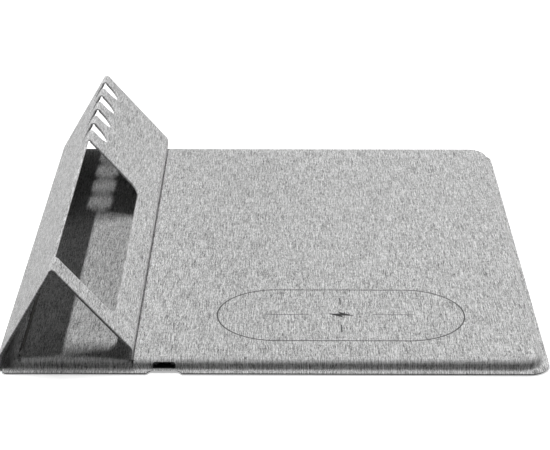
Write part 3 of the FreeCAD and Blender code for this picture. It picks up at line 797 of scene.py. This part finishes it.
def rounded_rectangle(low, high, left_radius, right_radius, left_scale=FREE, right_scale=FREE):
    """Loop round a slab, with its left and right corner radii and its side scales apart."""
    points, scales = [], []
    corners = [
        (high.x, low.y, right_radius, -90, right_scale),
        (high.x, high.y, right_radius, 0, FREE),
        (low.x, high.y, left_radius, 90, left_scale),
        (low.x, low.y, left_radius, 180, FREE),
    ]
    for x, y, radius, first, after in corners:
        inward = (-1 if x == high.x else 1, -1 if y == high.y else 1)
        if radius == 0:
            points.append((x, y))
            scales.append(after)
            continue
        cx, cy = x + inward[0] * radius, y + inward[1] * radius
        steps = 12
        for k in range(steps + 1):
            a = math.radians(first + 90 * k / steps)
            points.append((cx + radius * math.cos(a), cy + radius * math.sin(a)))
            scales.append(after if k == steps else FREE)
    return points, scales


def cap_rings():
    """Fabric cap from its inner face, down the inside, round the foot, up the wall and over the edge."""
    inner = EDGE_ROUND - COVER_THICK
    rings = [(EDGE_ROUND, TOP_Z - COVER_THICK, 0.0)]
    for turn in (45, 0):
        a = math.radians(turn)
        rings.append((COVER_THICK + inner * (1 - math.cos(a)),
                      TOP_Z - EDGE_ROUND + inner * math.sin(a), 0.0))
    # third numbers: how much the edge is lightened, partly as wear and partly as painted highlight, most
    # on the rounded top edge
    rings += [(COVER_THICK, DECK_Z, 1.0), (-FLARE, DECK_Z, 0.6)]
    for turn in (75, 60, 45, 30, 15, 0):
        a = math.radians(turn)
        rings.append((-FLARE * (1 - math.cos(a)), DECK_Z + FLARE * (1 - math.sin(a)),
                      0.6 * math.sin(a)))
    for turn in range(0, 91, 15):
        a = math.radians(turn)
        rings.append((EDGE_ROUND * (1 - math.cos(a)), TOP_Z - EDGE_ROUND + EDGE_ROUND * math.sin(a),
                      0.8 * math.sin(2 * a)))
    rings.append((EDGE_ROUND + TOP_BAND, TOP_Z, 0.0))
    return rings


def drape(points, low, high, radius):
    """Fabric coordinates of a cap: the flat top's own, carried on down the walls."""
    near = np.clip(points[:, :2], (low.x + radius, low.y + radius), (high.x - radius, high.y - radius))
    out = points[:, :2] - near
    size = np.linalg.norm(out, axis=1)
    out = out / np.where(size < 1e-6, 1.0, size)[:, None]
    hang = np.clip(TOP_Z - points[:, 2], 0, TOP_Z)
    flat = points[:, :2] + out * hang[:, None]
    return np.column_stack([flat, np.zeros(len(points))])


def points_of(mesh):
    co = np.zeros(len(mesh.vertices) * 3)
    mesh.vertices.foreach_get("co", co)
    return co.reshape(-1, 3) / MM


def make_cap(node, low, high, left_radius, right_radius, left_scale, right_scale, groove_x=None):
    """Fabric cap over a slab, with a pressed groove along Y where groove_x says."""
    points, scales = rounded_rectangle(low, high, left_radius, right_radius, left_scale, right_scale)
    outline = stepped(points, scales, CELL)
    rows = [groove_x + GROOVE_HALF * k / 4 for k in range(-4, 5)] if groove_x else []

    def place(x, y, z):
        solid = np.column_stack([x, y, z])
        if groove_x:
            slope = np.clip(1 - np.abs(x - groove_x) / GROOVE_HALF, 0, 1)
            ends = np.clip((HALF_TENT - EDGE_ROUND - np.abs(y)) / GROOVE_RUN_OUT, 0, 1)
            solid[:, 2] -= GROOVE_DEPTH * slope ** 1.5 * ends * (z > TOP_Z - 0.3)
        return solid

    obj, _ = skin(f"{node}_fabric", [outline], cap_rings(), place, rows=rows)
    return obj


def cut_with(obj, cutter):
    """Boolean difference, applied."""
    modifier = obj.modifiers.new("cut", "BOOLEAN")
    modifier.operation = "DIFFERENCE"
    modifier.solver = "EXACT"
    modifier.object = cutter
    bpy.context.view_layer.update()
    graph = bpy.context.evaluated_depsgraph_get()
    mesh = bpy.data.meshes.new_from_object(obj.evaluated_get(graph), depsgraph=graph)
    obj.modifiers.clear()
    obj.data = mesh
    bpy.data.objects.remove(cutter)


def port_outline(grow=0.0):
    """Port opening seen from the front: generous upper corners, small lower corners."""
    x0, x1 = port_low.x - PORT_FIT - grow, port_high.x + PORT_FIT + grow
    z0, z1 = port_low.z - PORT_FIT - grow, port_high.z + PORT_FIT + grow
    points = []
    corners = ((x1, z0, PORT_FOOT_RADIUS, -90), (x1, z1, PORT_TOP_RADIUS, 0),
               (x0, z1, PORT_TOP_RADIUS, 90), (x0, z0, PORT_FOOT_RADIUS, 180))
    for x, z, radius, first in corners:
        radius += grow
        cx = x - radius if x == x1 else x + radius
        cz = z - radius if z == z1 else z + radius
        for k in range(9):
            a = math.radians(first + 90 * k / 8)
            points.append((cx + radius * math.cos(a), cz + radius * math.sin(a)))
    return points


def prism_y(name, outline, y0, y1):
    """Solid with an XZ outline, from y0 to y1."""
    count = len(outline)
    solid = [(x, y, z) for y in (y0, y1) for x, z in outline]
    faces = [list(range(count)), list(range(count, 2 * count))]
    faces += [[i, (i + 1) % count, count + (i + 1) % count, count + i] for i in range(count)]
    return mesh_object(name, solid, faces)


def tube(name, path, radius, sides=10):
    """Closed ring of round section that follows a path in an XZ plane."""
    path = np.array(path)
    ahead = np.roll(path, -1, axis=0) - np.roll(path, 1, axis=0)
    ahead /= np.linalg.norm(ahead, axis=1)[:, None]
    back = np.array((0, 1, 0))
    side = np.cross(ahead, back)
    solid, faces = [], []
    for i, point in enumerate(path):
        for k in range(sides):
            a = 2 * math.pi * k / sides
            solid.append(point + side[i] * radius * math.cos(a) + back * radius * math.sin(a))
    count = len(path)
    for i in range(count):
        for k in range(sides):
            j, m = (i + 1) % count, (k + 1) % sides
            faces.append([i * sides + k, i * sides + m, j * sides + m, j * sides + k])
    return mesh_object(name, solid, faces)


def wall_at(z):
    """Where the front wall's face lies at a height, with its rounded top edge."""
    rise = max(0.0, z - (TOP_Z - EDGE_ROUND))
    return FRONT_WALL + EDGE_ROUND - math.sqrt(EDGE_ROUND ** 2 - rise ** 2)


def make_mat():
    obj = make_cap("mat_cover", mat_low, mat_high, 0, MAT_CORNER, SEAM, FREE)
    cutter = prism_y("port_cutter", port_outline(), FRONT_WALL - 2, FRONT_WALL + 3)
    cut_with(obj, cutter)
    points = points_of(obj.data)
    write_attribute(obj, "weave", drape(points, mat_low, mat_high, MAT_CORNER) * MM)
    finish_piece(obj, outer_fabric, body="base", replaces=["mat_cover"])
    shade_smooth(obj.data)
    make_piping()


def make_piping():
    """Rounded bound edge round the port's opening."""
    path = [(x, wall_at(z) + PIPING / 2, z) for x, z in port_outline(PIPING / 2)]
    rim = tube("port_piping", path, PIPING)
    rim_points = points_of(rim.data)
    write_attribute(rim, "weave", drape(rim_points, mat_low, mat_high, MAT_CORNER) * MM)
    # the piping is lightened all over: partly wear, partly painted highlight
    write_attribute(rim, "wear_and_highlight", np.ones(len(rim_points)))
    finish_piece(rim, outer_fabric, body="base")


def make_stand():
    crease_x = stand_low.x + CREASE_INSET
    obj = make_cap("stand_cover", stand_low, stand_high, STAND_CORNER, 0, FREE, SEAM, groove_x=crease_x)
    write_attribute(obj, "weave", drape(points_of(obj.data), stand_low, stand_high, STAND_CORNER) * MM)
    finish_piece(obj, stand_fabric, body="base", replaces=["stand_cover"])
    paint_crease_shade(obj, crease_x)


def paint_crease_shade(obj, crease_x):
    """Painted shade: near-black fabric on the faces down in the crease."""
    obj.data.materials.append(crease_fabric)
    for face in obj.data.polygons:
        place = face.center / MM
        in_groove = abs(place.x - crease_x) < GROOVE_HALF * 0.8
        sunk = GROOVE_LIP < TOP_Z - place.z < GROOVE_DEPTH
        if in_groove and sunk and face.normal.z > 0.1:
            face.material_index = 1


def make_seam():
    """Pressed strip that joins the stand to the mat, a little below the top face."""
    top = TOP_Z - SEAM_FLOOR
    low = Vector((stand_high.x - SEAM_LAP, SEAM_END - HALF_TENT, top - COVER_THICK))
    high = Vector((mat_low.x + SEAM_LAP, HALF_TENT - SEAM_END, top))
    outline = stepped(*rounded_rectangle(low, high, 0, 0), CELL)
    obj, flat = skin("seam_strip_fabric", [outline], flange_rings(low.z, high.z, GRIP_SOFT), upright)
    weave_along(obj, flat, 0.0)
    finish_piece(obj, outer_fabric, body="base")


def flange_outline(low, high):
    """Border round the pad, with the shallow bay in front of the port."""
    points, scales = rounded_rectangle(low, high, SPINE_CORNER, SHEET_CORNER)
    middle = (port_low.x + port_high.x) / 2
    bay = []
    for side in (-1, 1):
        steps = 8
        for k in range(steps + 1):
            t = k / steps if side < 0 else 1 - k / steps
            x = middle + side * (NOTCH_OUTER + (NOTCH_INNER - NOTCH_OUTER) * t) / 2
            bay.append((x, low.y + LEDGE * (3 * t * t - 2 * t ** 3)))
    return stepped(points + bay, scales + [FREE] * len(bay), CELL)


def upright(x, y, z):
    """Place function of a flat sheet that lies level."""
    return np.column_stack([x, y, z])


def flange_rings(z0, z1, soft, set_in=0.0):
    """Rim of a flat sheet with both edges rounded, all of it set in from its outline."""
    upper = [(0.0, z1 - soft, 0.6), (soft * 0.3, z1 - soft * 0.3, 0.6), (soft, z1, 0.4),
             (soft + 0.4, z1, 0.0)]
    lower = [(distance, z0 + z1 - z, worn_and_lit) for distance, z, worn_and_lit in reversed(upper)]
    return [(distance + set_in, z, worn_and_lit) for distance, z, worn_and_lit in lower + upper]


def make_flange(node, low, high, soft, set_in, material):
    rings = flange_rings(low.z, high.z, soft, set_in)
    obj, flat = skin(f"{node}_skin", [flange_outline(low, high)], rings, upright)
    weave_along(obj, flat, 0.0)
    finish_piece(obj, material, body="base", replaces=[node])
    return obj


def make_underside():
    border = make_flange("border_sheet", border_low, border_high, BORDER_SOFT, 0.0,
                         border_fabric)
    make_flange("grip_base", grip_low, grip_high, GRIP_SOFT, GRIP_INSET,
                rubber_material())


make_mat()
make_stand()
make_seam()
make_underside()


def dress_cad_nodes():
    """Procedural materials for the CAD parts that keep their shape, by the record's material slot."""
    for obj in frame["nodes"].values():
        if obj.hide_render:
            continue
        for place in obj.material_slots:
            place.material = CAD_MATERIALS[place.material.name.split(".")[0]]


dress_cad_nodes()


# ---- studio: places and sizes in metres, power in watts ----
WORLD_STRENGTH = 0.065
FLOOR_HALF = 12.0
FLOOR_DROP = 0.0002      # keeps the floor clear of the underside
FLOOR_GLOW = 0.45


def area_light(name, place, target, width, depth, power):
    data = bpy.data.lights.new(name, "AREA")
    data.shape = "RECTANGLE"
    data.size, data.size_y = width, depth
    data.energy = power
    light = bpy.data.objects.new(name, data)
    light.location = place
    light.rotation_euler = (Vector(target) - Vector(place)).to_track_quat("-Z", "Y").to_euler()
    bpy.context.scene.collection.objects.link(light)


def make_studio():
    world = bpy.data.worlds.new("studio")
    world.use_nodes = True
    background = world.node_tree.nodes["Background"]
    background.inputs["Color"].default_value = (1, 1, 1, 1)
    background.inputs["Strength"].default_value = WORLD_STRENGTH
    bpy.context.scene.world = world
    area_light("softbox_top", (-0.20, -0.04, 1.8), (-0.20, 0, 0), 0.06, 0.8, 23)
    area_light("softbox_left", (-1.4, 0.35, 0.42), (0, 0, 0), 0.7, 0.5, 9.5)
    area_light("softbox_right", (1.4, 0.35, 0.40), (0, 0, 0), 0.7, 0.5, 10.5)
    bpy.context.scene.view_settings.view_transform = "Standard"


def make_floor():
    """Plain pale floor that glows a little, so that it stays near white."""
    mesh = bpy.data.meshes.new("floor")
    corners = [(FLOOR_HALF * i, FLOOR_HALF * j, 0) for i, j in ((-1, -1), (1, -1), (1, 1), (-1, 1))]
    mesh.from_pydata(corners, [], [(0, 1, 2, 3)])
    floor = bpy.data.objects.new("floor", mesh)
    floor.location.z = -FLOOR_DROP
    bpy.context.scene.collection.objects.link(floor)
    n = Nodes("floor")
    n.surface(Base_Color=grey(0.9), Roughness=0.9, Emission_Color=grey(1.0), Emission_Strength=FLOOR_GLOW)
    mesh.materials.append(n.material)
    floor.visible_diffuse = False


make_studio()
make_floor()
